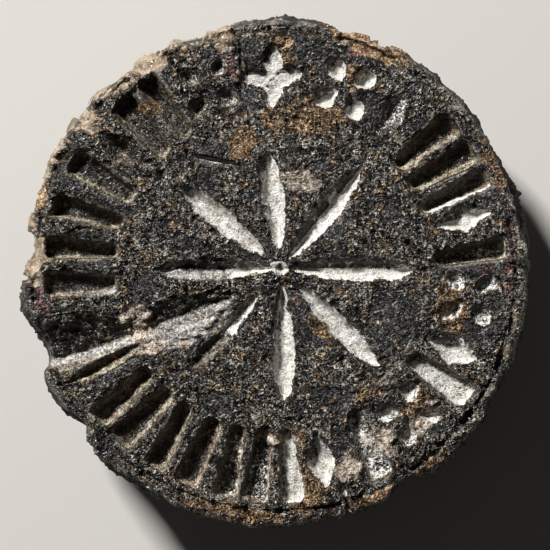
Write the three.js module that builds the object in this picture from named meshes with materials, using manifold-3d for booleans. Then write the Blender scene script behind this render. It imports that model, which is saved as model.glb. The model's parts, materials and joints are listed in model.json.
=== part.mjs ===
// A medieval seal matrix. A cast lead disc carries the design, cut into its face to print in
// relief. A pierced ridge soldered along its back is the grip, and a bent wire ring through the
// ridge hangs it up.
// Millimetres, +Z up. The matrix lies on its grip with the cut face up and the top of the design
// toward +Y. The origin is the middle of the grip's foot.

import * as THREE from "three";
import { mergeVertices } from "three/addons/utils/BufferGeometryUtils.js";
import Module from "manifold-3d";

const wasm = await Module();
wasm.setup();

// Disc
const discRadius = 17.1; // at the widest line of the rim
const discThickness = 4.0;
const rimSlope = 0.45; // the face's edge stands in this far from the widest line
const rimRounding = 0.25; // where the rim meets the face
const backRounding = 0.45; // where the rim meets the back
const rimSides = 120;

// Layout of the face, which its cutter set a little off the disc's middle
const designShiftX = 0;
const designShiftY = 0.17;
const borderLineInset = 0.45; // from the face's edge to the middle of the border line
const borderLineWidth = 0.45;
const borderLineDepth = 0.3;
const innerLineRadius = 9.9;
const innerLineWidth = 0.32;
const innerLineDepth = 0.2;
const lineSides = 72;

// Star
const starShiftX = 0.36; // from the middle of the two ring lines
const starShiftY = 0.15;
const petalDepth = 0.6;
const petalBelly = 0.58; // the widest place, as a share of the petal from its root
const starPitRadius = 0.4; // where the compass stood
const starPitDepth = 0.3;

// Border of cuts between the two ring lines
const bandGap = 0.5; // from the border line and the inner line to the cuts
const rayRootWidth = 0.9; // toward the star
const rayEndWidth = 1.6;
const rayDepth = 0.75;
const rayWall = 0.2; // its walls lean in this far from the face to its floor
const rayCorner = 0.3;
const handSlip = 0.9; // in degrees, how far a ray's ends stray to either side
const handUneven = 0.12; // share by which one ray is wider or deeper than the next
const lozengeWidth = 2.4;
const lozengeDepth = 0.7;
const flowerPetalWidth = 1.6;
const flowerPetalDepth = 0.6;
const flowerPetalBelly = 0.58;
const flowerHeart = 0.35; // radius left standing between the four petals
const crossArmWidth = 1.7;
const crossArmDepth = 0.6;
const crossArmBelly = 0.35;

// Damage: a deep gash in from the rim, a shallow one on to the star, a lesser one beside them,
// and two cracks
const gashWidth = 4.0;
const gashDepth = 1.4;
const gashLean = 1.2; // its deepest line lies this far to the right of its middle, seen from the rim
const innerGashWidth = 2.5;
const innerGashDepth = 0.7;
const sideGashWidth = 1.2;
const sideGashDepth = 0.9;
const rimCrackWidth = 0.5;
const rimCrackDepth = 1.3;
const fieldCrackWidth = 0.45;
const fieldCrackDepth = 0.3;
const damageRunOut = 1; // how far the cuts of the damage run past the rim

// Grip
const gripHeight = 4.2;
const gripRootWidth = 4.4;
const gripFootWidth = 3.4;
const gripFootRounding = 0.4;
const gripTail = 10.5; // from the disc's middle to the grip's lower end
const gripTailSlope = 3.0;
const holeDiameter = 2.4;
const holeHeight = 2.1; // above the foot, and the radius of the grip's rounded end
const holeMouthFlare = 0.3;

// Ring
const wireDiameter = 1.3;
const ringRadius = 4.3; // of the wire's centre line
const ringCover = 0.3; // the ring lies this far inside the disc's outline
const ringGap = 0.3; // between the wire's two ends
const ringGapAngle = 55;
const wireSides = 12;
const ringSteps = 44;

const backHeight = gripHeight;
const faceHeight = gripHeight + discThickness;
const faceRadius = discRadius - rimSlope - rimRounding;
const borderLineRadius = faceRadius - borderLineInset;
const bandInner = innerLineRadius + innerLineWidth / 2 + bandGap;
const bandOuter = borderLineRadius - borderLineWidth / 2 - bandGap;
const holeReach = discRadius - ringCover - wireDiameter / 2 - 2 * ringRadius;
const ringDroop = Math.asin((holeHeight - wireDiameter / 2) / (2 * ringRadius));

const designMiddle = new THREE.Vector2(designShiftX, designShiftY);
const starMiddle = designMiddle.clone().add(new THREE.Vector2(starShiftX, starShiftY));

// Where the rim bulges or has lost metal. Angles are in degrees from +X, and the pushes at the
// back and at the face are positive outward.
const rimFlaws = [
  { angle: 86, halfWidth: 13, backPush: 0.25, facePush: 0.2 },
  { angle: 109, halfWidth: 6, backPush: -0.4, facePush: -0.7 },
  { angle: 122, halfWidth: 7, backPush: 0.2, facePush: -0.9 },
  { angle: 131, halfWidth: 4, backPush: -0.2, facePush: -0.2 },
  { angle: 143, halfWidth: 11, backPush: 0.15, facePush: -0.5 },
  { angle: 161, halfWidth: 10, backPush: 0.1, facePush: -0.6 },
  { angle: 176, halfWidth: 8, backPush: -0.3, facePush: -1.2 },
  { angle: 198, halfWidth: 9, backPush: -0.7, facePush: -0.9 },
  { angle: 218, halfWidth: 6, backPush: -0.6, facePush: -0.7 },
  { angle: 240, halfWidth: 10, backPush: -0.1, facePush: -0.2 },
  { angle: 281, halfWidth: 5, backPush: -0.2, facePush: -0.3 },
  { angle: 302, halfWidth: 6, backPush: -0.8, facePush: -0.7 },
  { angle: 333, halfWidth: 8, backPush: -0.25, facePush: -0.3 },
  { angle: 28, halfWidth: 12, backPush: -0.2, facePush: -0.3 },
];

// The eight petals were cut by hand, so no two are alike. rootGap is from the star's middle,
// and tipGap is from the inner line.
const starPetals = [
  { angle: 94, rootGap: 0.9, tipGap: 1.8, width: 1.85 },
  { angle: 50, rootGap: 0.4, tipGap: 0.9, width: 1.8 },
  { angle: 0, rootGap: 0.2, tipGap: 0.5, width: 1.85 },
  { angle: -43, rootGap: 0.9, tipGap: 0.3, width: 1.7 },
  { angle: -86, rootGap: 0.6, tipGap: 1.0, width: 1.8 },
  { angle: -131, rootGap: 1.9, tipGap: 1.0, width: 1.7 },
  { angle: 180, rootGap: 0.3, tipGap: 1.9, width: 1.6 },
  { angle: 138.5, rootGap: 0.7, tipGap: 1.3, width: 1.8 },
];

// Places of the border's cuts, in degrees from +X round the middle of the ring lines
const crossAngle = 91;
const flowerAngles = [69, 110, 313, 352];
const lozengeAngles = [15.5, 53.5, 142, 283.5, 336];
const rayAngles = [
  5, 23.5, 32, 40.5, 123.5, 132.5, 152, 163, 173.5, 184, 219, 228, 237.5, 247.5, 257, 265.5, 274, 298, 327,
];

const lead = new THREE.MeshStandardMaterial({ color: 0x423d38, roughness: 0.75, metalness: 0.5 });
const gripLead = new THREE.MeshStandardMaterial({ color: 0x4d4943, roughness: 0.7, metalness: 0.55 });
const wireIron = new THREE.MeshStandardMaterial({ color: 0x5a3f2b, roughness: 0.8, metalness: 0.4 });

// A closed geometry as a solid, without the flat triangles that a lathe leaves on its axis
function solidOf(geometry) {
  geometry.deleteAttribute("normal");
  geometry.deleteAttribute("uv");
  const merged = mergeVertices(geometry, 1e-5);
  const corners = merged.index.array;
  const kept = [];
  for (let start = 0; start < corners.length; start += 3) {
    const [a, b, c] = corners.slice(start, start + 3);
    if (a !== b && b !== c && c !== a) kept.push(a, b, c);
  }
  return new wasm.Manifold(new wasm.Mesh({
    numProp: 3,
    vertProperties: new Float32Array(merged.attributes.position.array),
    triVerts: new Uint32Array(kept),
  }));
}

function meshOf(name, solid, material) {
  const { vertProperties, triVerts } = solid.getMesh();
  const geometry = new THREE.BufferGeometry();
  geometry.setAttribute("position", new THREE.BufferAttribute(vertProperties, 3));
  geometry.setIndex(new THREE.BufferAttribute(triVerts, 1));
  geometry.computeVertexNormals();
  const mesh = new THREE.Mesh(geometry, material);
  mesh.name = name;
  return mesh;
}

function placeAt(middle, angle, distance) {
  const turn = THREE.MathUtils.degToRad(angle);
  return new THREE.Vector2(Math.cos(turn), Math.sin(turn)).multiplyScalar(distance).add(middle);
}

// How far the rim stands out or in at an angle; height runs from 0 at the back to 1 at the face
function rimPush(angle, height) {
  let push = 0;
  for (const flaw of rimFlaws) {
    const apart = THREE.MathUtils.euclideanModulo(angle - flaw.angle + 180, 360) - 180;
    const share = Math.abs(apart) / flaw.halfWidth;
    if (share < 1) {
      push += THREE.MathUtils.lerp(flaw.backPush, flaw.facePush, height) * Math.cos(share * Math.PI / 2) ** 2;
    }
  }
  return push;
}

function castDisc() {
  const profile = [
    new THREE.Vector2(0, backHeight),
    new THREE.Vector2(discRadius - backRounding, backHeight),
    new THREE.Vector2(discRadius, backHeight + backRounding),
    new THREE.Vector2(discRadius - rimSlope, faceHeight - rimRounding),
    new THREE.Vector2(faceRadius, faceHeight),
    new THREE.Vector2(0, faceHeight),
  ];
  const turned = new THREE.LatheGeometry(profile, rimSides);
  turned.rotateX(Math.PI / 2);
  const corners = turned.attributes.position;
  const corner = new THREE.Vector3();
  for (let index = 0; index < corners.count; index += 1) {
    corner.fromBufferAttribute(corners, index);
    const radius = Math.hypot(corner.x, corner.y);
    if (radius > faceRadius / 2) {
      const angle = THREE.MathUtils.radToDeg(Math.atan2(corner.y, corner.x));
      const grown = 1 + rimPush(angle, (Math.abs(corner.z) - backHeight) / discThickness) / radius;
      corners.setXYZ(index, corner.x * grown, corner.y * grown, corner.z);
    }
  }
  return solidOf(turned);
}

// One cut of the graver, a V from one place on the face to another. It comes to a point at each
// end and is widest at belly, a share of its length. Fullness below 1 makes its ends blunter, and
// lean puts its deepest line that far to the right of its middle.
function stroke({ from, to, width, depth, lean = 0, belly = 0.5, fullness = 1, steps = 10 }) {
  const span = new THREE.Vector2().subVectors(to, from);
  const skew = Math.log(0.5) / Math.log(belly);
  const outline = [new THREE.Vector2(0, 0)];
  for (let step = 1; step < steps; step += 1) {
    const share = step / steps;
    const swell = Math.sin(Math.PI * share ** skew) ** fullness;
    outline.push(new THREE.Vector2(swell * width / 2, share * span.length()));
  }
  outline.push(new THREE.Vector2(0, span.length()));
  const cut = new THREE.LatheGeometry(outline, 4);
  cut.scale(1, 1, depth / (width / 2));
  cut.applyMatrix4(new THREE.Matrix4().makeShear(0, 0, 0, 0, -lean / depth, 0));
  cut.rotateZ(span.angle() - Math.PI / 2);
  cut.translate(from.x, from.y, faceHeight);
  return solidOf(cut);
}

// A ring line with a V section, scribed round the middle of the design
function ringLine(radius, width, depth) {
  const section = [
    new THREE.Vector2(radius - width / 2, 0),
    new THREE.Vector2(radius, -depth),
    new THREE.Vector2(radius + width / 2, 0),
    new THREE.Vector2(radius, depth),
    new THREE.Vector2(radius - width / 2, 0),
  ];
  const line = new THREE.LatheGeometry(section, lineSides);
  line.rotateX(Math.PI / 2);
  line.translate(designMiddle.x, designMiddle.y, faceHeight);
  return solidOf(line);
}

function petal({ angle, rootGap, tipGap, width }) {
  const reach = innerLineRadius - tipGap;
  return stroke({
    from: placeAt(starMiddle, angle, rootGap),
    to: placeAt(designMiddle, angle, reach),
    width,
    depth: petalDepth,
    belly: petalBelly,
    fullness: 0.5,
  });
}

// An outline with each of its corners rounded off
function roundedOutline(corners, cutBack) {
  const outline = new THREE.Shape();
  corners.forEach((corner, index) => {
    const before = corners.at(index - 1).clone().sub(corner).setLength(cutBack).add(corner);
    const after = corners[(index + 1) % corners.length].clone().sub(corner).setLength(cutBack).add(corner);
    if (index === 0) outline.moveTo(before.x, before.y);
    else outline.lineTo(before.x, before.y);
    outline.quadraticCurveTo(corner.x, corner.y, after.x, after.y);
  });
  outline.closePath();
  return outline;
}

// A wedge-shaped trough, narrow toward the star. The extrusion's lower bevel makes its walls.
function ray(angle) {
  const slip = Math.sin(angle);
  const root = placeAt(designMiddle, angle + handSlip * slip, bandInner);
  const end = placeAt(designMiddle, angle - handSlip * slip, bandOuter);
  const span = new THREE.Vector2().subVectors(end, root);
  const rootHalf = rayRootWidth * (1 + handUneven * slip) / 2;
  const endHalf = rayEndWidth * (1 + handUneven * slip) / 2;
  const outline = roundedOutline([
    new THREE.Vector2(0, -rootHalf),
    new THREE.Vector2(span.length(), -endHalf),
    new THREE.Vector2(span.length(), endHalf),
    new THREE.Vector2(0, rootHalf),
  ], rayCorner);
  const cut = new THREE.ExtrudeGeometry(outline, {
    depth: rayDepth,
    curveSegments: 2,
    bevelThickness: rayDepth * (1 - handUneven * slip),
    bevelSize: rayWall,
    bevelOffset: -rayWall,
    bevelSegments: 2,
  });
  cut.rotateZ(span.angle());
  cut.translate(root.x, root.y, faceHeight);
  return solidOf(cut);
}

// A four-sided pit with its point below
function pit({ middle, angle = 0, length, width, depth }) {
  const cut = new THREE.OctahedronGeometry(1);
  cut.scale(length / 2, width / 2, depth);
  cut.rotateZ(THREE.MathUtils.degToRad(angle));
  cut.translate(middle.x, middle.y, faceHeight);
  return solidOf(cut);
}

function lozenge(angle) {
  const middle = placeAt(designMiddle, angle, (bandInner + bandOuter) / 2);
  return pit({ middle, angle, length: bandOuter - bandInner, width: lozengeWidth, depth: lozengeDepth });
}

// Four like cuts round one middle, standing square to the band or turned by half a quarter
function fourCuts({ angle, turn, heart, reach, width, depth, belly }) {
  const middle = placeAt(designMiddle, angle, (bandInner + bandOuter) / 2);
  const cuts = [];
  for (let quarter = 0; quarter < 4; quarter += 1) {
    const direction = angle + turn + quarter * 90;
    cuts.push(stroke({
      from: placeAt(middle, direction, heart),
      to: placeAt(middle, direction, reach),
      width,
      depth,
      belly,
      fullness: 0.8,
      steps: 8,
    }));
  }
  return cuts;
}

function flower(angle) {
  return fourCuts({
    angle,
    turn: 45,
    heart: flowerHeart,
    reach: (bandOuter - bandInner) / 2,
    width: flowerPetalWidth,
    depth: flowerPetalDepth,
    belly: flowerPetalBelly,
  });
}

function cross() {
  return fourCuts({
    angle: crossAngle,
    turn: 0,
    heart: 0,
    reach: (bandOuter - bandInner) / 2,
    width: crossArmWidth,
    depth: crossArmDepth,
    belly: crossArmBelly,
  });
}

// The gashes and cracks, as V cuts laid over the design
function damage() {
  const rimReach = discRadius + damageRunOut;
  return [
    stroke({
      from: placeAt(designMiddle, 197, rimReach),
      to: placeAt(designMiddle, 205, innerLineRadius - 2.4),
      width: gashWidth,
      depth: gashDepth,
      lean: gashLean,
      belly: 0.3,
    }),
    stroke({
      from: placeAt(designMiddle, 203, innerLineRadius + 1),
      to: placeAt(starMiddle, 214, 2.6),
      width: innerGashWidth,
      depth: innerGashDepth,
      belly: 0.4,
    }),
    stroke({
      from: placeAt(designMiddle, 208.5, bandOuter + 0.6),
      to: placeAt(designMiddle, 208.5, innerLineRadius - 0.6),
      width: sideGashWidth,
      depth: sideGashDepth,
      belly: 0.45,
    }),
    stroke({
      from: placeAt(designMiddle, 288, bandOuter - 0.8),
      to: placeAt(designMiddle, 286, rimReach),
      width: rimCrackWidth,
      depth: rimCrackDepth,
      belly: 0.6,
    }),
    stroke({
      from: placeAt(designMiddle, 130, innerLineRadius + 0.3),
      to: placeAt(designMiddle, 100, innerLineRadius - 3),
      width: fieldCrackWidth,
      depth: fieldCrackDepth,
    }),
  ];
}

function matrixDisc() {
  const cuts = [
    ringLine(borderLineRadius, borderLineWidth, borderLineDepth),
    ringLine(innerLineRadius, innerLineWidth, innerLineDepth),
    ...starPetals.map(petal),
    pit({ middle: starMiddle, length: 2 * starPitRadius, width: 2 * starPitRadius, depth: starPitDepth }),
    ...rayAngles.map(ray),
    ...lozengeAngles.map(lozenge),
    ...flowerAngles.flatMap(flower),
    ...cross(),
    ...damage(),
  ];
  let disc = castDisc();
  for (const cut of cuts) disc = disc.subtract(cut);
  return meshOf("matrix_disc", disc, lead);
}

// The grip is its side view and its end view crossed, with the hole through its rounded end
function backHandle() {
  const side = new THREE.Shape();
  side.moveTo(-gripTail, gripHeight);
  side.quadraticCurveTo(-gripTail + gripTailSlope / 3, 0, -gripTail + gripTailSlope, 0);
  side.lineTo(holeReach, 0);
  side.absarc(holeReach, holeHeight, holeHeight, -Math.PI / 2, 0, false);
  side.lineTo(holeReach + holeHeight, gripHeight);
  side.closePath();
  const sideSolid = new THREE.ExtrudeGeometry(side, {
    depth: gripRootWidth + 1,
    bevelEnabled: false,
    curveSegments: 10,
  });
  // The outline's x and y become Y and Z, and the extrusion runs along X
  sideSolid.translate(0, 0, -(gripRootWidth + 1) / 2);
  sideSolid.rotateY(Math.PI / 2);
  sideSolid.rotateX(Math.PI / 2);

  const end = new THREE.Shape();
  end.moveTo(-gripRootWidth / 2, gripHeight);
  end.lineTo(-gripFootWidth / 2, gripFootRounding);
  end.quadraticCurveTo(-gripFootWidth / 2, 0, -gripFootWidth / 2 + gripFootRounding, 0);
  end.lineTo(gripFootWidth / 2 - gripFootRounding, 0);
  end.quadraticCurveTo(gripFootWidth / 2, 0, gripFootWidth / 2, gripFootRounding);
  end.lineTo(gripRootWidth / 2, gripHeight);
  end.closePath();
  const length = 2 * discRadius;
  const endSolid = new THREE.ExtrudeGeometry(end, { depth: length, bevelEnabled: false, curveSegments: 5 });
  endSolid.translate(0, 0, -length / 2);
  endSolid.rotateX(Math.PI / 2);

  const holeRadius = holeDiameter / 2;
  const holeHalf = gripRootWidth / 2;
  const bore = new THREE.LatheGeometry([
    new THREE.Vector2(0, -holeHalf),
    new THREE.Vector2(holeRadius + holeMouthFlare, -holeHalf),
    new THREE.Vector2(holeRadius, -holeHalf / 2),
    new THREE.Vector2(holeRadius, holeHalf / 2),
    new THREE.Vector2(holeRadius + holeMouthFlare, holeHalf),
    new THREE.Vector2(0, holeHalf),
  ], 24);
  bore.rotateZ(Math.PI / 2);
  bore.translate(0, holeReach, holeHeight);

  const grip = solidOf(sideSolid).intersect(solidOf(endSolid)).subtract(solidOf(bore));
  return meshOf("back_handle", grip, gripLead);
}

// The wire's centre line: nearly a full circle, which passes through the origin
class RingPath extends THREE.Curve {
  getPoint(share) {
    const halfGap = ringGap / ringRadius / 2;
    const start = THREE.MathUtils.degToRad(ringGapAngle) + halfGap;
    const angle = start + share * (2 * Math.PI - 2 * halfGap);
    return new THREE.Vector3(ringRadius * Math.cos(angle), ringRadius * (1 + Math.sin(angle)), 0);
  }
}

function suspensionRing() {
  const section = new THREE.Shape();
  section.absarc(0, 0, wireDiameter / 2, 0, 2 * Math.PI, false);
  const wire = new THREE.ExtrudeGeometry(section, {
    steps: ringSteps,
    curveSegments: wireSides / 2,
    extrudePath: new RingPath(),
  });
  const ring = meshOf("suspension_ring", solidOf(wire), wireIron);
  const hung = new THREE.Group();
  hung.add(ring);
  hung.position.set(0, holeReach, holeHeight);
  hung.rotation.x = -ringDroop;
  return hung;
}

const sealMatrix = new THREE.Group();
sealMatrix.add(matrixDisc(), backHandle(), suspensionRing());

export default sealMatrix;
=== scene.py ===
import json
import math

import bpy
import numpy as np
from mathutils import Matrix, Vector, noise
from mathutils.bvhtree import BVHTree


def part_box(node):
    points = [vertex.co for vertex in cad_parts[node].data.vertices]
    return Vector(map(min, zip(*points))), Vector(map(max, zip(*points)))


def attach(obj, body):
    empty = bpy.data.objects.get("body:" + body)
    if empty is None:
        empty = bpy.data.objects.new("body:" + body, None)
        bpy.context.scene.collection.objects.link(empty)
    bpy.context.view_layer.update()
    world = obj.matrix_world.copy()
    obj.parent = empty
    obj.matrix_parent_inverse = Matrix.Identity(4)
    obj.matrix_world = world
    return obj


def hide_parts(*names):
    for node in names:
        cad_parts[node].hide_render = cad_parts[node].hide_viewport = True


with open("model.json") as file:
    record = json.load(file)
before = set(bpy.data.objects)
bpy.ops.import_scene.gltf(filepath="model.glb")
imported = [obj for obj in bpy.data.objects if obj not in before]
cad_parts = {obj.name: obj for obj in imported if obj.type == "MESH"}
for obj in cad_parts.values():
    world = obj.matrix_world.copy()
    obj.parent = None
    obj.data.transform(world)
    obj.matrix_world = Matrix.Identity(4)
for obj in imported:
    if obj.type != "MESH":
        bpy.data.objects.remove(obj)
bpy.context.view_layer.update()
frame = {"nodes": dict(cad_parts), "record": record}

MM = 0.001


# The seal disc is lead, cast in an open mould and then cut by hand with a graver. Its surface is
# a fine net laid over the frame's own solid, so every cut stands where the frame has it: a face
# of square cells drawn out to a circle, the side of the rim below it, and rings over the back.
disc_low, disc_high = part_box("matrix_disc")
face_height = next(m["pos_m"][2] for m in frame["record"]["mounts"] if m["name"] == "seal_face") / MM
back_height = disc_low.z / MM
edge_cells = 264  # cells along each side of the face's net, and a quarter of the rim's
side_rows = 14
back_rings = (0.985, 0.95, 0.88, 0.78, 0.66, 0.52, 0.38, 0.24, 0.1)

disc_solid = BVHTree.FromObject(frame["nodes"]["matrix_disc"], bpy.context.evaluated_depsgraph_get())


def height_below(x, y):
    """Height of the solid's upper surface, in mm, straight below a place."""
    hit = disc_solid.ray_cast(Vector((x * MM, y * MM, 0.05)), Vector((0, 0, -1)))[0]
    return hit.z / MM if hit else back_height


def reach_at(angle, height):
    """Distance of the solid's side from its axis, in mm, at an angle and a height."""
    out = Vector((math.cos(angle), math.sin(angle), 0))
    hit = disc_solid.ray_cast(out * 0.05 + Vector((0, 0, height * MM)), -out)[0]
    return math.hypot(hit.x, hit.y) / MM if hit else 0.0


def around(angles):
    """Unit vectors, flat on the table, at angles from +X."""
    return np.stack([np.cos(angles), np.sin(angles)], -1)


# Where the gash opens the edge of the face, the edge is carried across from both sides
rim_angles = -math.pi / 4 + np.arange(4 * edge_cells) * (math.pi / 2 / edge_cells)
back_reach = np.array([reach_at(a, back_height + 0.6) for a in rim_angles])
inset = back_reach - np.array([reach_at(a, face_height - 0.35) for a in rim_angles])
whole = inset < 2.0
face_reach = back_reach - np.interp(rim_angles, rim_angles[whole], inset[whole], period=2 * math.pi)

steps = np.linspace(-1, 1, edge_cells + 1)
across, up = np.meshgrid(steps, steps, indexing="ij")
wide = np.abs(across) > np.abs(up)
spoke = np.where(wide, across, up)
divisor = np.where(spoke == 0, 1, spoke)
turn = np.where(wide, math.pi / 4 * up / divisor, math.pi / 2 - math.pi / 4 * across / divisor)
edge_angle = turn + np.where(spoke < 0, math.pi, 0)
flat = (spoke * np.interp(edge_angle, rim_angles, face_reach, period=2 * math.pi))[..., None] * around(turn)
face_z = np.vectorize(height_below)(flat[..., 0] * 0.999, flat[..., 1] * 0.999)
rows = [np.dstack([flat, face_z]).reshape(-1, 3)]

index = np.arange((edge_cells + 1) ** 2).reshape(edge_cells + 1, edge_cells + 1)
quads = [np.stack([index[:-1, :-1], index[1:, :-1], index[1:, 1:], index[:-1, 1:]], -1).reshape(-1, 4)]
rim = np.concatenate([index[-1, :-1], index[:0:-1, -1], index[0, :0:-1], index[:-1, 0]])
edge_z = rows[0][rim, 2]
last, count = rim, len(rows[0])
for share in np.arange(1, side_rows + 1) / side_rows:
    heights = edge_z + (back_height - edge_z) * share
    probes = np.clip(heights, back_height + 0.02, edge_z - 0.02)
    reaches = np.array([reach_at(angle, height) for angle, height in zip(rim_angles, probes)])
    rows.append(np.column_stack([reaches[:, None] * around(rim_angles), heights]))
for share in back_rings:
    rows.append(rows[side_rows] * (share, share, 1))
for _ in rows[1:]:
    ring = count + np.arange(len(rim))
    quads.append(np.stack([last, ring, np.roll(ring, -1), np.roll(last, -1)], 1))
    last, count = ring, count + len(rim)
quads = np.concatenate(quads)
fan = [(int(a), count, int(b)) for a, b in zip(last, np.roll(last, -1))]
points = np.vstack(rows + [[[0, 0, back_height]]])


def soften(places, faces, rounds):
    """Moves each point half way to the middle of its neighbours, as wear rounds an edge."""
    ends = np.concatenate([faces[:, [k, (k + 1) % 4]] for k in range(4)])
    ends = np.concatenate([ends, ends[:, ::-1]])
    near = np.bincount(ends[:, 0], minlength=len(places))
    for _ in range(rounds):
        sums = [np.bincount(ends[:, 0], column[ends[:, 1]], len(places)) for column in places.T]
        middles = np.stack(sums, 1) / np.maximum(near, 1)[:, None]
        places = np.where(near[:, None] > 0, (places + middles) / 2, places)
    return places


def mesh_of(name, places, faces):
    """A smooth mesh from places in mm, with its normals."""
    mesh = bpy.data.meshes.new(name)
    mesh.from_pydata((places * MM).tolist(), [], faces)
    mesh.update()
    mesh.shade_smooth()
    normals = np.zeros(len(places) * 3)
    mesh.vertices.foreach_get("normal", normals)
    return mesh, normals.reshape(-1, 3)


def rise(values, low, high):
    """0 below low, 1 above high and a smooth rise between them."""
    share = np.clip((values - low) / (high - low), 0, 1)
    return share * share * (3 - 2 * share)


# The arrises of the border's cuts have worn rounder than those of the star, and the inner ring line
# is nearly worn away. The gash was torn by something blunt that slid in from the rim, so its bed is
# rounder still.
design_middle = np.array((0.0, 0.17))
inner_line_radius = 9.9
from_axis = np.hypot(*points[:, :2].T)
in_border = ((from_axis > 10.4) & (from_axis < 15.9))[:, None]
gash_start, gash_end = np.array((-16.6, -4.6)), np.array((-2.2, -0.7))
gash_way = (gash_end - gash_start) / np.linalg.norm(gash_end - gash_start)
gash_side = np.array((-gash_way[1], gash_way[0]))
along_gash = (points[:, :2] - gash_start) @ gash_way
beside_gash = (points[:, :2] - gash_start) @ gash_side
torn = rise(-np.abs(beside_gash), -2.3, -1.7) * rise(along_gash, -2, -1) * rise(-along_gash, -15, -13.5)
points = np.where(in_border, soften(points, quads, 4), soften(points, quads, 1))
off_line = np.abs(np.hypot(*(points[:, :2] - design_middle).T) - inner_line_radius)
blunted = np.maximum(torn, 0.8 * rise(-off_line, -0.7, -0.3))
points += blunted[:, None] * (soften(points, quads, 16) - points)
seal_mesh, normals = mesh_of("seal_disc", points, quads.tolist() + fan)


# Centuries in the ground have roughened the lead. Dark plates of its first skin still stand, the
# metal between them has crumbled into grains and folds, and the rim and the cuts' arrises are ragged.
star_middle = np.array((0.36, 0.32))
back_slack = 0.12  # the back is pitted inward only, as the grip is soldered to it


def ripple(places, size, shift=0.0, octaves=1):
    """Smooth noise about 0 with features of a size in mm, the same on every run."""
    move = Vector((shift, -shift, shift * 0.5))
    if octaves == 1:
        return np.array([noise.noise(Vector(p) / size + move) for p in places])
    return np.array([noise.fractal(Vector(p) / size + move, 0.8, 2.0, octaves) for p in places])


def grains(places, size):
    """Rounded grains of a size in mm, 1 at their tops and 0 in the joints between them."""
    found = np.array([noise.voronoi(Vector(p) / size)[0][:2] for p in places])
    return np.clip((found[:, 1] - found[:, 0]) * 1.6, 0, 1)


def crinkle(places, size, shift=0.0):
    """Sharp winding ridges a size in mm apart, 1 along their tops and 0 well off them."""
    move = Vector((shift, shift, -shift))
    return 1 - np.clip(2.2 * np.abs([noise.noise(Vector(p) / size + move) for p in places]), 0, 1)


def shelves(places, size):
    """Broken steps: flat-topped cells of a size in mm, each at its own height about 0."""
    nearest = [noise.voronoi(Vector(p) / size)[1][0] for p in places]
    return np.array([noise.cell(spot * 9.7) for spot in nearest]) - 0.5


def oval(places, x, y, half_length, half_width, angle=0.0):
    """1 at the middle of an oval on the face, 0 at its edge and below 0 outside it."""
    turn = math.radians(angle)
    along = (places[:, 0] - x) * math.cos(turn) + (places[:, 1] - y) * math.sin(turn)
    beside = (places[:, 1] - y) * math.cos(turn) - (places[:, 0] - x) * math.sin(turn)
    return 1 - (along / half_length) ** 2 - (beside / half_width) ** 2


def near_angle(angles, angle, reach, fade):
    """1 within reach degrees of an angle, and 0 once a fade further off."""
    return rise(-np.abs((angles - angle + 180) % 360 - 180), -reach - fade, -reach)


from_design = points[:, :2] - design_middle
distance = np.hypot(*from_design.T)
polar = np.degrees(np.arctan2(from_design[:, 1], from_design[:, 0]))
on_face = rise(normals[:, 2], 0.05, 0.3)
on_back = rise(-normals[:, 2], 0.3, 0.8)
depth = face_height - points[:, 2]
sunk = rise(depth, 0.03, 0.14) * rise(-distance, -16.1, -15.7) * (1 - on_back)
rim_share = rise(distance, 15.4, 16.4)
arris = ((points - soften(points, quads, 5)) * normals).sum(1)
ragged = ripple(points, 0.9, 12.0, 4)


def patches(places, low=-0.15, high=0.25):
    """A mask of ovals on the face, run together and ragged at their edges."""
    found = np.zeros(len(points))
    for place in places:
        found = np.maximum(found, rise(oval(points, *place) + 0.8 * ragged, low, high))
    return found * (1 - on_back)


# The gash's bed is drawn out in streaks that run along it. Its lower wall, which faces up toward the lamp,
# is painted bright, partly as scraped metal and partly as painted highlight, and so is a shallow scoop
# beside its inner end. The lip of its upper wall broke off unevenly.
torn *= rise(depth, 0.05, 0.2) * (1 - on_back)
gash_facing = normals[:, :2] @ gash_side
scraped_and_highlight = torn * rise(gash_facing + 0.08 * ragged, -0.02, 0.34)
scoop = np.where(on_face > 0, oval(points, -5.5, -3.7, 3.2, 1.0, 20), -1)
broken_lip = torn * rise(-gash_facing, 0.05, 0.3)
streaks = np.array([noise.noise(Vector((u * 0.3, v * 5, 0))) for u, v in zip(along_gash, beside_gash)])

# Plates of the cast skin that still stand, mostly between the cuts of the border: the middle of
# each, its half sizes and its turn
skin_places = (
    (7.9, -3.2, 1.9, 2.4, 0), (12.1, 0.2, 2.1, 0.7, 0), (12.3, -3.9, 2.6, 0.8, 15),
    (12.3, 7.1, 2.0, 0.6, 25), (12.6, 3.1, 1.1, 0.5, 5), (13.7, 5.7, 0.7, 0.8, 0),
    (-1.8, 14.7, 0.8, 1.5, 0), (-1.8, 11.7, 0.7, 1.3, 0), (0.6, 16.6, 2.0, 0.4, 0),
    (3.2, 14.6, 1.2, 0.7, 0), (6.2, 11.2, 0.6, 0.9, 0), (-7.4, 13.3, 0.7, 1.0, 30),
    (-5.1, 13.1, 0.9, 0.5, 45), (-4.2, 8.4, 0.9, 0.6, 0), (-4.2, 7.3, 2.0, 0.5, -15),
    (-13.7, 6.6, 1.2, 1.3, 0), (-11.4, 4.4, 2.0, 0.9, -10), (-12.4, 2.5, 1.7, 0.5, 0),
    (-8.7, -1.1, 0.9, 1.0, 0), (-10.2, -6.4, 2.0, 0.5, 20), (-11.4, -5.5, 2.1, 0.4, 20),
    (4.3, -8.2, 1.0, 0.7, 0), (4.2, -11.2, 0.6, 1.4, 0), (10.7, -10.0, 0.8, 0.8, 0),
    (-3.6, -8.6, 1.5, 0.8, 0), (9.4, 9.9, 1.2, 0.5, 40),
)
left_standing = rise(ripple(points, 2.6, 4.0, 4), 0.3, 0.4)
skin = np.maximum(patches(skin_places, -0.05, 0.15), left_standing) * (1 - sunk) * (1 - on_back)
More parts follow.
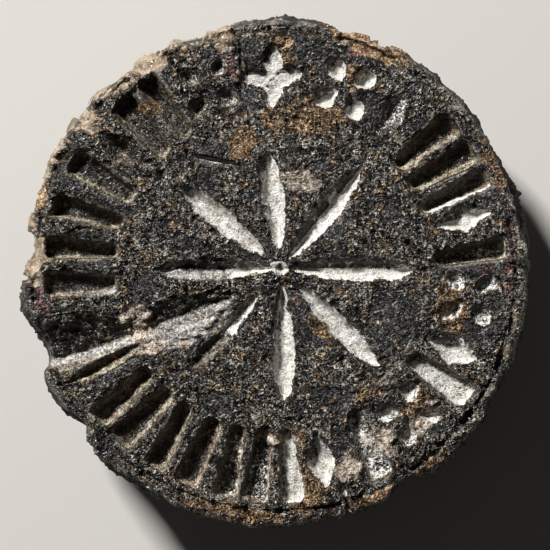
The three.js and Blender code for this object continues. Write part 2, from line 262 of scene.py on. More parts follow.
# The rim's upper left, which faces the lamp, is painted pale cream: partly worn metal and partly painted
# highlight
pale_and_highlight = near_angle(polar, 140, 36, 12) * rise(distance + ragged, 15.9, 16.6)
pale_and_highlight = np.maximum(pale_and_highlight, patches((
    (-16.1, 1.2, 0.9, 1.9), (-15.9, 5.4, 0.8, 1.5), (-12.8, 10.4, 0.8, 1.5, 50), (6.0, 15.5, 2.8, 1.1, -28),
    (-9.2, 13.7, 2.2, 1.2, 35), (-15.4, 7.0, 3.2, 0.7, 65), (-3.5, 15.9, 0.9, 1.2),
)))
rubble = patches(((-8.8, -3.6, 1.1, 0.7, 60), (-8.2, -4.8, 1.0, 0.6, 20), (-9.5, -2.6, 0.9, 0.4, 20)))

fine = ripple(points, 0.3, 9.0)
crumbly = (1 - 0.95 * skin) * (1 - 0.85 * sunk) * (1 - 0.75 * torn) * (1 - 0.75 * pale_and_highlight)
crumbly *= (0.7 + 0.8 * rise(ripple(points, 3.0, 21.0, 2), -0.3, 0.4)) * (1 - 0.4 * rim_share)
near_cuts = soften(np.column_stack([sunk]), quads, 30)[:, 0] * (1 - sunk)
relief = 0.06 * ripple(points, 5.0, 1.0, 2) + 0.06 * skin - 0.3 * near_cuts
relief += (0.06 * grains(points, 0.4) + 0.07 * fine + 0.17 * crinkle(points, 0.66)) * crumbly
past_star = rise(distance, 9.8, 10.4)
relief += 0.12 * ripple(points, 1.5, 2.0, 3) * (0.4 + rim_share + 0.4 * past_star) * (1 - sunk)
relief += 0.12 * ripple(points, 2.2, 7.0, 3) * rim_share
broken_steps = shelves(points + 0.3 * ripple(points, 0.9, 12.0)[:, None], 1.3)
relief += 0.3 * broken_steps * (0.35 * rim_share + 0.65 * pale_and_highlight) * (1 - on_back)
relief -= 0.3 * rise(scoop, 0.0, 0.8)
scraped_and_highlight = np.maximum(scraped_and_highlight, 0.85 * rise(scoop + 0.4 * ragged, 0.05, 0.6))
torn = np.maximum(torn, rise(scoop, 0.0, 0.3))
relief += 0.04 * streaks * torn + 0.12 * rubble * (0.4 + ragged) + 0.25 * ragged * broken_lip
relief -= 0.04 * rise(arris, 0.01, 0.05) * rise(fine, -0.1, 0.3)
relief -= 0.3 * rise(oval(points, 8.9, 1.9, 0.5, 0.45), 0.0, 0.7)  # a blowhole of the casting

# The graver dug the deeper cuts unevenly, so some of their floors lie below the frame's
uneven = rise(ripple(points, 1.6, 31.0, 2), -0.7, 0.1)
relief -= 0.15 * rise(depth, 0.25, 0.55) * (1 - torn) * on_face * uneven

# Where the scribed ring crosses it, the skin has parted in a step, with a lip toward the star
ledge_start, ledge_way = np.array((-6.3, 8.1)), np.array((0.964, -0.265))
along_ledge = (points[:, :2] - ledge_start) @ ledge_way
above_ledge = (points[:, :2] - ledge_start) @ np.array((-ledge_way[1], ledge_way[0])) + 0.3 * ragged
lifted = rise(above_ledge, 0.0, 0.15) * rise(-above_ledge, -2.4, -0.8)
lifted *= rise(along_ledge, -0.3, 0.6) * rise(-along_ledge, -5.3, -4.6) * (1 - sunk)
relief += 0.18 * lifted
lip = rise(-above_ledge, 0.1, 0.25) * rise(above_ledge, -0.7, -0.35)
relief += 0.12 * lip * rise(along_ledge, -0.3, 0.6) * rise(-along_ledge, -5.3, -4.6) * (1 - sunk)

# The deepest cuts, those of the star and some of the border's, are lined with white lead carbonate,
# a soft powder: the angle of each cut, half the width that it takes up, and how much it holds
cross_angle = 91
cross_radius = 12.75  # mm from the middle of the design to the middle of the cross
chalky_cuts = (
    (cross_angle, 8, 1.0), (69, 9, 1.0), (110, 9, 0.3), (53.5, 5, 0.35), (15.5, 6, 0.95), (5, 4, 0.3),
    (-8, 9, 0.5), (-24, 6, 0.95), (-33, 4, 0.75), (-47, 9, 0.6), (-62, 4, 0.5), (-76.5, 6, 0.95),
    (-86, 4, 0.75), (-94.5, 4, 0.35), (-103, 4, 0.25),
)
chalk_and_painted_light = np.zeros(len(points))
for angle, half_width, amount in chalky_cuts:
    chalk_and_painted_light = np.maximum(chalk_and_painted_light, amount * near_angle(polar, angle, half_width, 1))
from_star = points[:, :2] - star_middle
star_polar = np.degrees(np.arctan2(from_star[:, 1], from_star[:, 0]))
star_distance = np.hypot(*from_star.T)
dark_petal = near_angle(star_polar, -131, 14, 4) * rise(star_distance, 1.6, 2.2)
past_line = rise(distance, 10.2, 10.8)
in_star = distance < inner_line_radius - 0.4
chalk_and_painted_light = np.where(in_star, 1 - 0.95 * dark_petal, chalk_and_painted_light * past_line)
# Painted highlight: near the star, the dark petal's walls that face up and left, toward the lamp, are
# painted with powder
lit_wall = rise(normals[:, :2] @ np.array((-0.6, 0.8)), 0.1, 0.4) * rise(-star_distance, -6.2, -5.0)
chalk_and_painted_light = np.maximum(chalk_and_painted_light, 0.75 * dark_petal * lit_wall) * (1 - torn)
chalk_and_painted_light *= rise(depth + 0.2 * ragged, 0.03, 0.16) * sunk * rise(-distance, -15.7, -15.3)
chalk_and_painted_light = np.maximum(chalk_and_painted_light, 0.9 * patches(((0.3, 0.4, 0.65, 0.5),), -0.1, 0.4))

# In the cross the powder lies along the four arms, and soil has filled the corners between them
in_cross = near_angle(polar, cross_angle, 8, 1) * past_line
cross_way = np.array((math.cos(math.radians(cross_angle)), math.sin(math.radians(cross_angle))))
cross_middle = design_middle + cross_radius * cross_way
up_arm = np.abs((points[:, :2] - cross_middle) @ cross_way)
over_arm = np.abs((points[:, :2] - cross_middle) @ np.array((-cross_way[1], cross_way[0])))
off_arm = np.minimum(over_arm - 0.2 * up_arm, up_arm - 0.2 * over_arm) - 0.1 * ragged
corners = in_cross * rise(off_arm, 0.42, 0.58) * sunk
chalk_and_painted_light *= 1 - corners
relief += 0.3 * corners

# The powder hides the roughness of its cut, whose walls are steep and whose floor is even. On the walls that
# face down and right, away from the lamp, it is painted thin, as painted shade.
powder = rise(chalk_and_painted_light, 0.4, 0.8)
up_left = np.array((-0.59, 0.81))
painted_shade_wall = rise(normals[:, :2] @ -up_left, 0.22, 0.45) * rise(ragged, -0.8, -0.2)
chalk_and_painted_light *= 1 - 0.85 * painted_shade_wall
relief *= 1 - 0.6 * powder
relief += 0.06 * ripple(points, 0.5, 17.0) * powder
lining = 0.6 - 0.3 * near_angle(polar, cross_angle, 12, 1) * past_line + 0.07 * ripple(points, 1.2, 8.0, 2)
hollowed = powder * (np.minimum(1.8 * depth, lining) - depth)

# Grit and corrosion have caked onto the face in a few places: the place, its half sizes, the
# turn of its oval and how far it stands above the frame's own solid there
caked_places = (
    (1.5, 6.1, 1.6, 0.8, -10, 0.14),
    (6.9, -11.0, 1.4, 1.0, -40, 0.05),
    (4.9, -12.8, 1.2, 0.9, 10, 0.05),
    (0.3, -10.9, 1.4, 0.4, 0, 0.12),
    (9.6, -9.7, 1.5, 0.8, 50, 0.05),
)
caked = np.zeros(len(points))
for *place, height in caked_places:
    lump = rise(oval(points, *place) + 0.7 * ragged, 0.0, 0.5) * on_face
    caked = np.maximum(caked, lump)
    relief += lump * (height + 0.14 * ragged + 0.06 * fine)

# Scratches run down the upper part of the face: where each starts and ends
scratches = (
    ((-2.3, 16.4), (-2.1, 10.6)),
    ((-1.85, 15.2), (-1.75, 9.8)),
    ((-1.05, 10.3), (-0.95, 7.0)),
)
for start, end in scratches:
    way = np.array(end) - start
    share = np.clip((points[:, :2] - start) @ way / (way @ way), 0, 1)
    off = np.hypot(*(points[:, :2] - start - share[:, None] * way).T)
    relief -= 0.1 * rise(-off, -0.2, -0.05) * on_face

relief -= on_back * (relief.max() * 0.35 + back_slack)
points += normals * relief[:, None]
points[:, 2] = np.maximum(points[:, 2] - hollowed, back_height)

# Wear has taken the tops off the tallest lumps, so little stands above the face
tallest = 0.24
over_face = np.maximum(points[:, 2] - face_height, 0)
points[:, 2] += tallest * np.tanh(over_face / tallest) - over_face
seal_mesh.vertices.foreach_set("co", (points * MM).ravel())
seal_mesh.update()


def paint(mesh, name, values):
    """Keeps one number for each point of a mesh, for its material to read."""
    mesh.attributes.new(name, "FLOAT", "POINT").data.foreach_set("value", np.clip(values, 0, 1))


# Brown soil and red rust stain the face: the middle and half sizes of each oval, and its turn
soil_places = (
    (0.5, 14.6, 1.0, 1.2), (6.2, 15.4, 3.4, 1.1, -24), (14.6, 7.4, 0.8, 2.2, 25),
    (2.0, 10.3, 3.0, 1.2), (-2.1, 8.6, 1.1, 1.2), (11.6, -2.0, 1.1, 2.0), (6.1, -8.0, 1.0, 0.7),
    (9.3, -8.6, 1.2, 1.3), (2.0, -13.8, 1.6, 2.2), (10.6, -12.9, 1.6, 0.8, 30),
    (-3.0, -15.9, 4.5, 0.8, -10), (7.0, -14.9, 3.0, 0.7, 25), (-15.7, 5.2, 0.7, 1.4),
    (3.3, -3.6, 1.4, 0.8, -40), (0.4, -10.8, 2.4, 0.5), (-8.4, 11.0, 0.9, 0.6),
    (5.6, 13.0, 1.2, 0.8, -30),
)
soiled = np.maximum(0.9 * patches(soil_places, -0.4, 0.6), 0.35 * rise(ragged, -0.2, 0.5) * (1 - on_back))
red_places = (
    (14.9, 6.3, 0.6, 1.6, 15), (15.6, 1.5, 0.5, 4.0), (14.0, 0.3, 0.7, 0.6), (10.4, 7.2, 0.8, 0.5, 20),
    (-15.4, -1.6, 0.6, 1.3), (-2.9, 13.5, 0.5, 1.3), (5.6, 14.6, 1.0, 0.4),
)

# Painted highlight: the walls of cuts are painted palest where they face up and left, toward the lamp, and
# both ring lines are painted bright along their right.
lit_side = rise(normals[:, :2] @ up_left, 0.0, 0.3)
lit_lines = np.maximum(
    near_angle(polar, -15, 45, 15) * rise(-np.abs(distance - 10.05), -0.12, -0.04),
    near_angle(polar, -10, 50, 15) * rise(-np.abs(distance - 16.15), -0.12, -0.04),
) * rise(ragged, -0.1, 0.3) * (1 - on_back)
wall_and_highlight = sunk * rise(-normals[:, 2], -0.9, -0.65) * (0.25 + 0.75 * lit_side)
# Painted shade: the rim's side, away from the pale upper left, is painted near black
rim_side_shade = rise(-normals[:, 2], -0.45, -0.25) * (1 - pale_and_highlight) * rise(distance, 15.9, 16.4)
worn_arris = rise(arris, 0.015, 0.07) * rise(ragged - 0.6 * rim_share, -0.5, 0.1)
# The worn mask holds the real wear of the arrises and also the painted highlight along the ring lines
for name, values in (
    ("chalk_and_painted_light", chalk_and_painted_light), ("skin", skin), ("pale_and_highlight", pale_and_highlight), ("red", patches(red_places, -0.4, 0.6)),
    ("torn", torn), ("scraped_and_highlight", scraped_and_highlight), ("sunk", sunk), ("wall_and_highlight", wall_and_highlight), ("rim_side_shade", rim_side_shade),
    ("soiled", soiled), ("caked", np.maximum(caked, rubble)),
    ("worn", np.maximum(worn_arris, lit_lines)),
):
    paint(seal_mesh, name, values)

seal_disc = bpy.data.objects.new("seal_disc", seal_mesh)
bpy.context.scene.collection.objects.link(seal_disc)
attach(seal_disc, "matrix")
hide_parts("matrix_disc")


def colour(code):
    """A screen colour such as "8a7f70" as the linear colour that a material takes."""
    parts = [int(code[k:k + 2], 16) / 255 for k in (0, 2, 4)]
    return (*[p / 12.92 if p <= 0.04045 else ((p + 0.055) / 1.055) ** 2.4 for p in parts], 1)


def add(tree, kind, inputs=None, **settings):
    """Adds a node, with its settings, and with numbers or other nodes' sockets on its inputs."""
    made = tree.nodes.new(kind)
    for name, value in settings.items():
        setattr(made, name, value)
    for name, value in (inputs or {}).items():
        if isinstance(value, bpy.types.NodeSocket):
            tree.links.new(value, made.inputs[name])
        else:
            made.inputs[name].default_value = value
    return made


def reckon(tree, operation, first, second=0.0):
    return add(tree, "ShaderNodeMath", {0: first, 1: second}, operation=operation).outputs[0]


def reckon_vector(tree, operation, inputs):
    return add(tree, "ShaderNodeVectorMath", inputs, operation=operation).outputs


def climb(tree, value, low, high, to_low=0.0, to_high=1.0):
    """A smooth climb from to_low to to_high while a value goes from low to high."""
    inputs = {"Value": value, "From Min": low, "From Max": high, "To Min": to_low, "To Max": to_high}
    return add(tree, "ShaderNodeMapRange", inputs, interpolation_type="SMOOTHSTEP").outputs[0]


def over(tree, mask, below, above):
    """One colour laid over another where a mask says."""
    return add(tree, "ShaderNodeMix", {0: mask, 6: below, 7: above}, data_type="RGBA").outputs[2]


def shades(tree, value, *stops):
    """A run of screen colours along a value that goes from 0 to 1."""
    made = add(tree, "ShaderNodeValToRGB", {"Fac": value})
    run = made.color_ramp.elements
    while len(run) < len(stops):
        run.new(1.0)
    for element, (position, code) in zip(run, stops):
        element.position, element.color = position, colour(code)
    return made.outputs["Color"]


def new_group(name, inputs, outputs):
    """An empty shader node group with named number sockets, and its two end nodes."""
    group = bpy.data.node_groups.new(name, "ShaderNodeTree")
    group.interface.new_socket("Place", in_out="INPUT", socket_type="NodeSocketVector")
    for socket, value in inputs.items():
        made = group.interface.new_socket(socket, in_out="INPUT", socket_type="NodeSocketFloat")
        made.default_value = value
    for socket in outputs:
        group.interface.new_socket(socket, in_out="OUTPUT", socket_type="NodeSocketFloat")
    return group, group.nodes.new("NodeGroupInput").outputs, group.nodes.new("NodeGroupOutput").inputs


# Crumble is the relief of corroded metal below what a mesh can hold: flakes of a size, each tilted
# its own way, with bent joints. Height stays within about 0 to 1.
crumble, crumble_in, crumble_out = new_group("Crumble", {"Size": 0.0003}, ["Height"])
per_metre = reckon(crumble, "DIVIDE", 1.0, crumble_in["Size"])
bend = add(crumble, "ShaderNodeTexNoise", {
    "Vector": crumble_in["Place"], "Scale": reckon(crumble, "MULTIPLY", per_metre, 1.1), "Detail": 1.0,
})
drift = reckon_vector(crumble, "SCALE", {0: bend.outputs["Color"], "Scale": crumble_in["Size"]})[0]
bent = reckon_vector(crumble, "ADD", {0: crumble_in["Place"], 1: drift})[0]
flake = add(crumble, "ShaderNodeTexVoronoi", {"Vector": bent, "Scale": per_metre}).outputs
from_middle = reckon_vector(crumble, "SUBTRACT", {0: bent, 1: flake["Position"]})[0]
facing = reckon_vector(crumble, "SUBTRACT", {0: flake["Color"], 1: (0.5, 0.5, 0.5)})[0]
slope = reckon_vector(crumble, "DOT_PRODUCT", {0: from_middle, 1: facing})["Value"]
slope = reckon(crumble, "MULTIPLY", reckon(crumble, "MULTIPLY", slope, per_metre), 1.3)
height = reckon(crumble, "ADD", slope, reckon(crumble, "MULTIPLY", bend.outputs["Fac"], 0.8))
crumble.links.new(reckon(crumble, "ADD", height, 0.1), crumble_out["Height"])

# Flecks is a mask of ragged spots of a size, which cover a share of the surface
flecks, flecks_in, flecks_out = new_group("Flecks", {"Size": 0.0005, "Cover": 0.3}, ["Mask"])
spots = add(flecks, "ShaderNodeTexNoise", {
    "Vector": flecks_in["Place"], "Scale": reckon(flecks, "DIVIDE", 1.0, flecks_in["Size"]),
    "Detail": 4.0, "Roughness": 0.7,
}).outputs["Fac"]
bar = reckon(flecks, "SUBTRACT", 0.7, reckon(flecks, "MULTIPLY", flecks_in["Cover"], 0.4))
flecks.links.new(climb(flecks, reckon(flecks, "SUBTRACT", spots, bar), -0.02, 0.03), flecks_out["Mask"])


def painted(tree, name):
    return add(tree, "ShaderNodeAttribute", attribute_name=name).outputs["Fac"]


def crumbs(tree, place, size):
    return add(tree, "ShaderNodeGroup", {"Place": place, "Size": size}, node_tree=crumble).outputs["Height"]


def flecked(tree, place, size, cover):
    inputs = {"Place": place, "Size": size, "Cover": cover}
    return add(tree, "ShaderNodeGroup", inputs, node_tree=flecks).outputs["Mask"]


def winding(tree, place, scale):
    """Narrow winding ridges, 1 along their tops and 0 between them."""
    made = add(tree, "ShaderNodeTexNoise", {
        "Vector": place, "Scale": scale, "Detail": 1.0, "Distortion": 0.9,
    })
    off = reckon(tree, "ABSOLUTE", reckon(tree, "SUBTRACT", made.outputs["Fac"], 0.5))
    return climb(tree, off, 0.0, 0.08, 1.0, 0.0)


def new_material(name):
    """A material with its tree, its Principled shader and the place on the piece."""
    made = bpy.data.materials.new(name)
    made.use_nodes = True
    tree = made.node_tree
    place = tree.nodes.new("ShaderNodeTexCoord").outputs["Object"]
    return made, tree, tree.nodes["Principled BSDF"], place


# The patina is near black in the pits and on the plates, grey on the tops of the folds, cream where the rim
# and the arrises are worn, and white, brown or red where something has grown or caked on it. The dark of the
# pits and the grey of the tops follow the bump's height, partly the patina's own tone and partly painted
# shade and highlight, and the cream on the rim's upper left is partly painted highlight.
lead_patina, tree, shader, place = new_material("lead_patina")
coarse = crumbs(tree, place, 0.00034)
small = crumbs(tree, place, 0.00014)
both = reckon(tree, "ADD", reckon(tree, "MULTIPLY", coarse, 0.5), reckon(tree, "MULTIPLY", small, 0.5))
broad = add(tree, "ShaderNodeTexNoise", {
    "Vector": place, "Scale": 900.0, "Detail": 5.0, "Roughness": 0.65,
}).outputs["Fac"]
patchy = reckon(tree, "MULTIPLY", reckon(tree, "SUBTRACT", broad, 0.49), 0.85)
folds = reckon(tree, "MAXIMUM", winding(tree, place, 1900.0), winding(tree, place, 3300.0))
# Painted shade and highlight: the tone follows the bump's height, darker in the pits and paler on the tops
# and folds, over the patina's own tone
toned = reckon(tree, "ADD", climb(tree, both, 0.0, 1.0, -0.16, 0.66), patchy)
toned = reckon(tree, "ADD", toned, reckon(tree, "MULTIPLY", folds, 0.42))
warmth = add(tree, "ShaderNodeTexNoise", {"Vector": place, "Scale": 1500.0, "Detail": 2.0}).outputs["Fac"]
grey = shades(
    tree, toned, (0.26, "0b0a09"), (0.42, "292521"), (0.55, "6a6156"), (0.68, "c2b6a4"), (0.8, "f6efe2"),
)
tan = shades(
    tree, toned, (0.26, "0f0a06"), (0.42, "35271a"), (0.55, "785c40"), (0.68, "c4a073"), (0.8, "f0d6ac"),
)
body = over(tree, climb(tree, warmth, 0.53, 0.66), grey, tan)
plate = shades(tree, toned, (0.2, "0b0a0a"), (0.5, "1c1b1b"), (0.75, "363432"), (0.95, "726e68"))
body = over(tree, reckon(tree, "MULTIPLY", painted(tree, "skin"), 0.9), body, plate)
# Cream for worn arrises and for the painted highlight along the ring lines
worn = over(tree, broad, colour("94876f"), colour("f0e8d8"))
body = over(tree, reckon(tree, "MULTIPLY", painted(tree, "worn"), 0.8), body, worn)
# The floors of cuts are painted dark brown: partly soil and partly painted shade
cut_floor_and_shade = shades(tree, toned, (0.2, "0e0b09"), (0.5, "231c15"), (0.85, "5a4c3a"))
body = over(tree, reckon(tree, "MULTIPLY", painted(tree, "sunk"), 0.9), body, cut_floor_and_shade)
# The walls of cuts that face the lamp get this cream as a painted highlight
cut_wall = shades(tree, toned, (0.12, "3d3429"), (0.4, "93836b"), (0.7, "e0d4bb"))
body = over(tree, reckon(tree, "MULTIPLY", painted(tree, "wall_and_highlight"), 0.9), body, cut_wall)
# The gash's bed is painted near black: partly dark patina and partly painted shade on its upper wall, which
# faces away from the lamp
gash_bed_and_shade = shades(tree, toned, (0.3, "070606"), (0.6, "1f1b17"), (0.8, "8c7d68"))
body = over(tree, painted(tree, "torn"), body, gash_bed_and_shade)
# The gash's lower wall and the scoop are painted bright: scraped metal and painted highlight
gash_slope = shades(tree, toned, (0.08, "6b655e"), (0.35, "a9a299"), (0.65, "ded9d0"))
body = over(tree, painted(tree, "scraped_and_highlight"), body, gash_slope)
# Cream on the rim's upper left: worn metal and painted highlight
cream = shades(tree, broad, (0.3, "55463a"), (0.45, "9c876f"), (0.6, "ccb79c"), (0.75, "eadcc4"))
body = over(tree, reckon(tree, "MULTIPLY", painted(tree, "pale_and_highlight"), 0.85), body, cream)
brown = flecked(tree, place, 0.0005, painted(tree, "soiled"))
soil = shades(tree, toned, (0.12, "1e150e"), (0.34, "624628"), (0.5, "a87a4c"), (0.68, "e0be90"))
body = over(tree, reckon(tree, "MULTIPLY", brown, 0.82), body, soil)
grit = shades(tree, toned, (0.05, "4f4338"), (0.3, "a8927c"), (0.6, "e6d8c6"))
body = over(tree, reckon(tree, "MULTIPLY", painted(tree, "caked"), 0.92), body, grit)
red_here = painted(tree, "red")
red = flecked(tree, place, 0.00022, reckon(tree, "MULTIPLY", red_here, 0.3))
body = over(tree, reckon(tree, "MULTIPLY", red, red_here), body, colour("b8606c"))
# The rim's side is painted near black as painted shade
body = over(tree, reckon(tree, "MULTIPLY", painted(tree, "rim_side_shade"), 0.8), body, colour("141210"))
fray = reckon(tree, "MULTIPLY", reckon(tree, "SUBTRACT", toned, 0.5), 0.6)
chalk_here = climb(tree, reckon(tree, "ADD", painted(tree, "chalk_and_painted_light"), fray), 0.3, 0.55)
white = shades(tree, toned, (0.0, "b3aa9c"), (0.25, "e4ded3"), (0.55, "f8f5ee"))
body = over(tree, chalk_here, body, white)
tree.links.new(body, shader.inputs["Base Color"])
dull = reckon(tree, "MAXIMUM", chalk_here, painted(tree, "caked"))
dull = reckon(tree, "MAXIMUM", dull, painted(tree, "rim_side_shade"))
gloss = climb(tree, painted(tree, "skin"), 0, 1, 0.27, 0.36)
roughness = reckon(tree, "MAXIMUM", gloss, climb(tree, dull, 0, 1, 0.3, 0.95))
tree.links.new(roughness, shader.inputs["Roughness"])
smooth = reckon(tree, "MAXIMUM", painted(tree, "skin"), painted(tree, "sunk"))
smooth = reckon(tree, "MAXIMUM", smooth, painted(tree, "torn"))
smooth = reckon(tree, "MAXIMUM", smooth, painted(tree, "pale_and_highlight"))
calm = climb(tree, reckon(tree, "MAXIMUM", smooth, dull), 0, 1, 1.0, 0.25)
wound = reckon(tree, "MULTIPLY", folds, climb(tree, calm, 0.25, 1.0, 0.06, 0.62))
rough = reckon(tree, "ADD", reckon(tree, "MULTIPLY", both, reckon(tree, "MULTIPLY", calm, 0.55)), wound)
shader.inputs["Specular IOR Level"].default_value = 0.7
bump = add(tree, "ShaderNodeBump", {"Height": rough, "Distance": 0.0007})
tree.links.new(bump.outputs["Normal"], shader.inputs["Normal"])
seal_mesh.materials.append(lead_patina)


# The grip is a ridge of lead, cast by itself in a cut mould and pierced for the ring. Its flanks
# keep the dull skin of the mould, and thumb and table have worn its foot and edges bright.
grip_low, grip_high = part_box("back_handle")
grip_cell = 0.14


def remeshed(name, node, cell):
    """An even net of cells over one of the frame's solids, as a new piece, with its points in mm."""
    piece = bpy.data.objects.new(name, frame["nodes"][node].data.copy())
    bpy.context.scene.collection.objects.link(piece)
    piece.modifiers.new("net", "REMESH").voxel_size = cell * MM
    mesh = bpy.data.meshes.new_from_object(piece.evaluated_get(bpy.context.evaluated_depsgraph_get()))
    piece.modifiers.clear()
    piece.data = mesh
    mesh.materials.clear()
    mesh.shade_smooth()
    places, normals = np.zeros(3 * len(mesh.vertices)), np.zeros(3 * len(mesh.vertices))
    mesh.vertices.foreach_get("co", places)
    mesh.vertices.foreach_get("normal", normals)
    return piece, places.reshape(-1, 3) / MM, normals.reshape(-1, 3)


def net_of(mesh):
    """The four-cornered faces of a mesh, as rows of their corners."""
    return np.array([face.vertices[:] for face in mesh.polygons if len(face.vertices) == 4])


grip, points, normals = remeshed("grip", "back_handle", grip_cell)
softer = soften(points, net_of(grip.data), 6)
arris = ((points - softer) * normals).sum(1)
points = soften(points, net_of(grip.data), 2)
held = rise(points[:, 2], 0.05, 0.5) * rise(-points[:, 2], -grip_high.z / MM, 0.3 - grip_high.z / MM)
relief = 0.09 * ripple(points, 1.6, 5.0, 2) + 0.05 * ripple(points, 0.4, 8.0, 2)
nicked = rise(ripple(points, 1.1, 3.0, 3), 0.45, 0.6)
relief -= 0.1 * nicked * rise(arris, 0.01, 0.06)
points += normals * (relief * held)[:, None]
points[:, 2] = np.clip(points[:, 2], 0, grip_high.z / MM)
grip.data.vertices.foreach_set("co", (points * MM).ravel())
rubbed = np.maximum(rise(arris, 0.02, 0.07), 0.8 * rise(-points[:, 2], -0.9, -0.1))
paint(grip.data, "worn", rubbed * rise(ripple(points, 1.3, 2.0, 3), -0.6, 0.2))
paint(grip.data, "soiled", rise(points[:, 2], 2.6, 4.2) * 0.8 + 0.25)
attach(grip, "matrix")
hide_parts("back_handle")

grip_lead, tree, shader, place = new_material("grip_lead")
coarse, small = crumbs(tree, place, 0.0007), crumbs(tree, place, 0.0003)
both = reckon(tree, "ADD", reckon(tree, "MULTIPLY", coarse, 0.5), reckon(tree, "MULTIPLY", small, 0.5))
broad = add(tree, "ShaderNodeTexNoise", {
    "Vector": place, "Scale": 380.0, "Detail": 4.0, "Roughness": 0.6,
}).outputs["Fac"]
toned = reckon(tree, "ADD", both, reckon(tree, "MULTIPLY", reckon(tree, "SUBTRACT", broad, 0.5), 0.9))
body = shades(tree, toned, (0.1, "141312"), (0.4, "35322e"), (0.65, "59544e"), (0.9, "8b857c"))
soil = shades(tree, toned, (0.1, "1d130c"), (0.45, "54402c"), (0.8, "a08462"))
stain = flecked(tree, place, 0.0011, painted(tree, "soiled"))
body = over(tree, reckon(tree, "MULTIPLY", stain, 0.6), body, soil)
body = over(tree, reckon(tree, "MULTIPLY", painted(tree, "worn"), 0.75), body, colour("8e8b86"))
tree.links.new(body, shader.inputs["Base Color"])
tree.links.new(climb(tree, painted(tree, "worn"), 0, 1, 0.62, 0.36), shader.inputs["Roughness"])
tree.links.new(climb(tree, painted(tree, "worn"), 0, 1, 0.1, 0.75), shader.inputs["Metallic"])
calm = climb(tree, painted(tree, "worn"), 0, 1, 1.0, 0.35)
bump = add(tree, "ShaderNodeBump", {"Height": reckon(tree, "MULTIPLY", both, calm), "Distance": 0.00014})
tree.links.new(bump.outputs["Normal"], shader.inputs["Normal"])
grip.data.materials.append(grip_lead)


# Soft solder holds the grip: a lumpy bead of tin and lead, run with a hot iron into the corner
# that the grip makes with the back.
bead_width = 0.75
bead_drop = 0.6  # down the grip's flank
bead_sink = 0.3  # up into the pitted back
bead_steps = 360
root_half = Vector((grip_high.x, (grip_high.y - grip_low.y) / 2)) / MM
root_middle = (grip_high.y + grip_low.y) / 2 / MM

# The bead's line is the grip's root, an oblong with its corners rounded
turns = np.linspace(0, 2 * math.pi, bead_steps, endpoint=False)
square = np.maximum(np.abs(np.cos(turns)), np.abs(np.sin(turns)))
line = around(turns) / square[:, None] * (root_half.x, root_half.y)
for _ in range(3):
    line = (np.roll(line, 1, 0) + line + np.roll(line, -1, 0)) / 3
ahead = np.roll(line, -1, 0) - np.roll(line, 1, 0)
outward = np.column_stack([ahead[:, 1], -ahead[:, 0]]) / np.hypot(*ahead.T)[:, None]
section = (
    (-0.4, bead_sink), (-0.4, -bead_drop), (0.0, -bead_drop), (0.16, -0.28), (0.36, -0.12),
    (bead_width, 0.0), (bead_width, bead_sink),
)
rows = []
for out, rise_by in section:
    swell = 1 + 0.35 * np.array([noise.fractal(Vector((x, y, out)) / 1.3, 0.8, 2.0, 3) for x, y in line])
    reach = out * swell if out > 0 else np.full(bead_steps, out)
    drop = rise_by * swell if rise_by < 0 else np.full(bead_steps, rise_by)
    flat = line + outward * reach[:, None] + (0, root_middle)
    rows.append(np.column_stack([flat, back_height + drop]))
index = np.arange(len(section) * bead_steps).reshape(len(section), bead_steps)
after = np.roll(index, -1, 0)
bead_quads = np.stack([index, np.roll(index, -1, 1), np.roll(after, -1, 1), after], -1).reshape(-1, 4)
bead_mesh, normals = mesh_of("solder_bead", np.concatenate(rows), bead_quads.tolist())
solder_bead = bpy.data.objects.new("solder_bead", bead_mesh)
bpy.context.scene.collection.objects.link(solder_bead)
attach(solder_bead, "matrix")

solder, tree, shader, place = new_material("solder")
lumps = crumbs(tree, place, 0.0009)
body = shades(tree, lumps, (0.1, "2b2926"), (0.45, "5d5954"), (0.8, "8f8b84"))
tree.links.new(body, shader.inputs["Base Color"])
tree.links.new(climb(tree, lumps, 0.2, 0.9, 0.7, 0.42), shader.inputs["Roughness"])
bump = add(tree, "ShaderNodeBump", {"Height": lumps, "Distance": 0.00012})
tree.links.new(bump.outputs["Normal"], shader.inputs["Normal"])
shader.inputs["Metallic"].default_value = 0.5
bead_mesh.materials.append(solder)


# The hanging ring is iron wire, bent round a bar and left unwelded. Rust has swollen and pitted
# it, and it is bare only where it rubs in its hole.
ring_cell = 0.13

hanging_ring, points, normals = remeshed("hanging_ring", "suspension_ring", ring_cell)
points = soften(points, net_of(hanging_ring.data), 2)
relief = 0.09 * ripple(points, 0.9, 4.0, 3) + 0.05 * grains(points, 0.5) - 0.07
points += normals * relief[:, None]
points[:, 2] = np.maximum(points[:, 2], 0)
hanging_ring.data.vertices.foreach_set("co", (points * MM).ravel())
paint(hanging_ring.data, "worn", rise(-points[:, 1], -8.6, -7.9))
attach(hanging_ring, "ring")
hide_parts("suspension_ring")

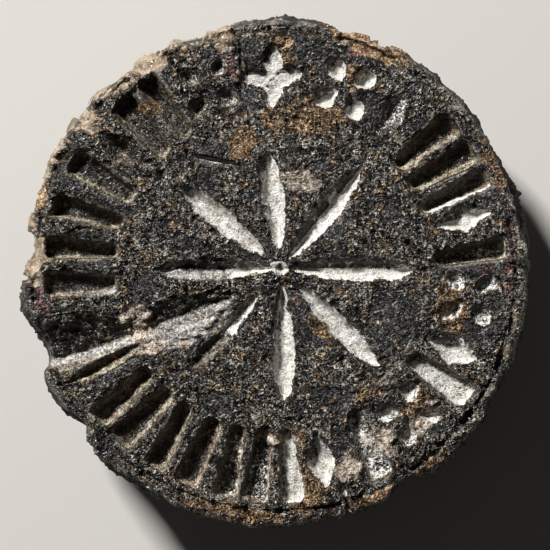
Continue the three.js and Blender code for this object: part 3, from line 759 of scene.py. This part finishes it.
rusty_iron, tree, shader, place = new_material("rusty_iron")
coarse, small = crumbs(tree, place, 0.0006), crumbs(tree, place, 0.00025)
both = reckon(tree, "ADD", reckon(tree, "MULTIPLY", coarse, 0.5), reckon(tree, "MULTIPLY", small, 0.5))
body = shades(tree, both, (0.1, "180c07"), (0.4, "43260f"), (0.62, "744222"), (0.85, "ab6e3c"))
body = over(tree, flecked(tree, place, 0.0008, 0.35), body, colour("2a1d17"))
body = over(tree, reckon(tree, "MULTIPLY", painted(tree, "worn"), 0.7), body, colour("6b6763"))
tree.links.new(body, shader.inputs["Base Color"])
tree.links.new(climb(tree, painted(tree, "worn"), 0, 1, 0.85, 0.4), shader.inputs["Roughness"])
tree.links.new(climb(tree, painted(tree, "worn"), 0, 1, 0.0, 0.8), shader.inputs["Metallic"])
bump = add(tree, "ShaderNodeBump", {"Height": both, "Distance": 0.00015})
tree.links.new(bump.outputs["Normal"], shader.inputs["Normal"])
hanging_ring.data.materials.append(rusty_iron)


# The floor is a plain pale sheet under the seal
bpy.ops.mesh.primitive_plane_add(size=1.2, location=(0, 0, 0))
floor = bpy.context.object
floor.name = "floor"
floor_paint, tree, shader, place = new_material("floor_paint")
shader.inputs["Base Color"].default_value = colour("dedad3")
shader.inputs["Roughness"].default_value = 0.9
floor.data.materials.append(floor_paint)

# One soft lamp stands low at the upper left, and the room fills the shadows a little
world = bpy.data.worlds.new("room")
bpy.context.scene.world = world
world.use_nodes = True
world.node_tree.nodes["Background"].inputs["Color"].default_value = (1, 1, 1, 1)
world.node_tree.nodes["Background"].inputs["Strength"].default_value = 0.022
key_data = bpy.data.lights.new("key_lamp", "AREA")
key_data.size = 0.1
key_data.energy = 6.2
key_lamp = bpy.data.objects.new("key_lamp", key_data)
lamp_distance = 0.6  # metres from the seal
key_lamp.location = lamp_distance * Vector((-0.5, 0.69, 0.52))
key_lamp.rotation_euler = (-key_lamp.location).to_track_quat("-Z", "Y").to_euler()
bpy.context.scene.collection.objects.link(key_lamp)

# The camera looks straight down on the face
camera_data = bpy.data.cameras.new("camera")
camera_data.lens = 150
camera_data.sensor_width = 36
camera_data.clip_start = 0.01
view_width = 0.0363  # metres across the picture at the height of the face
camera = bpy.data.objects.new("camera", camera_data)
camera.location = (-0.00003, -0.0001, disc_high.z + view_width * camera_data.lens / camera_data.sensor_width)
bpy.context.scene.collection.objects.link(camera)
bpy.context.scene.camera = camera
bpy.context.scene.view_settings.view_transform = "Standard"
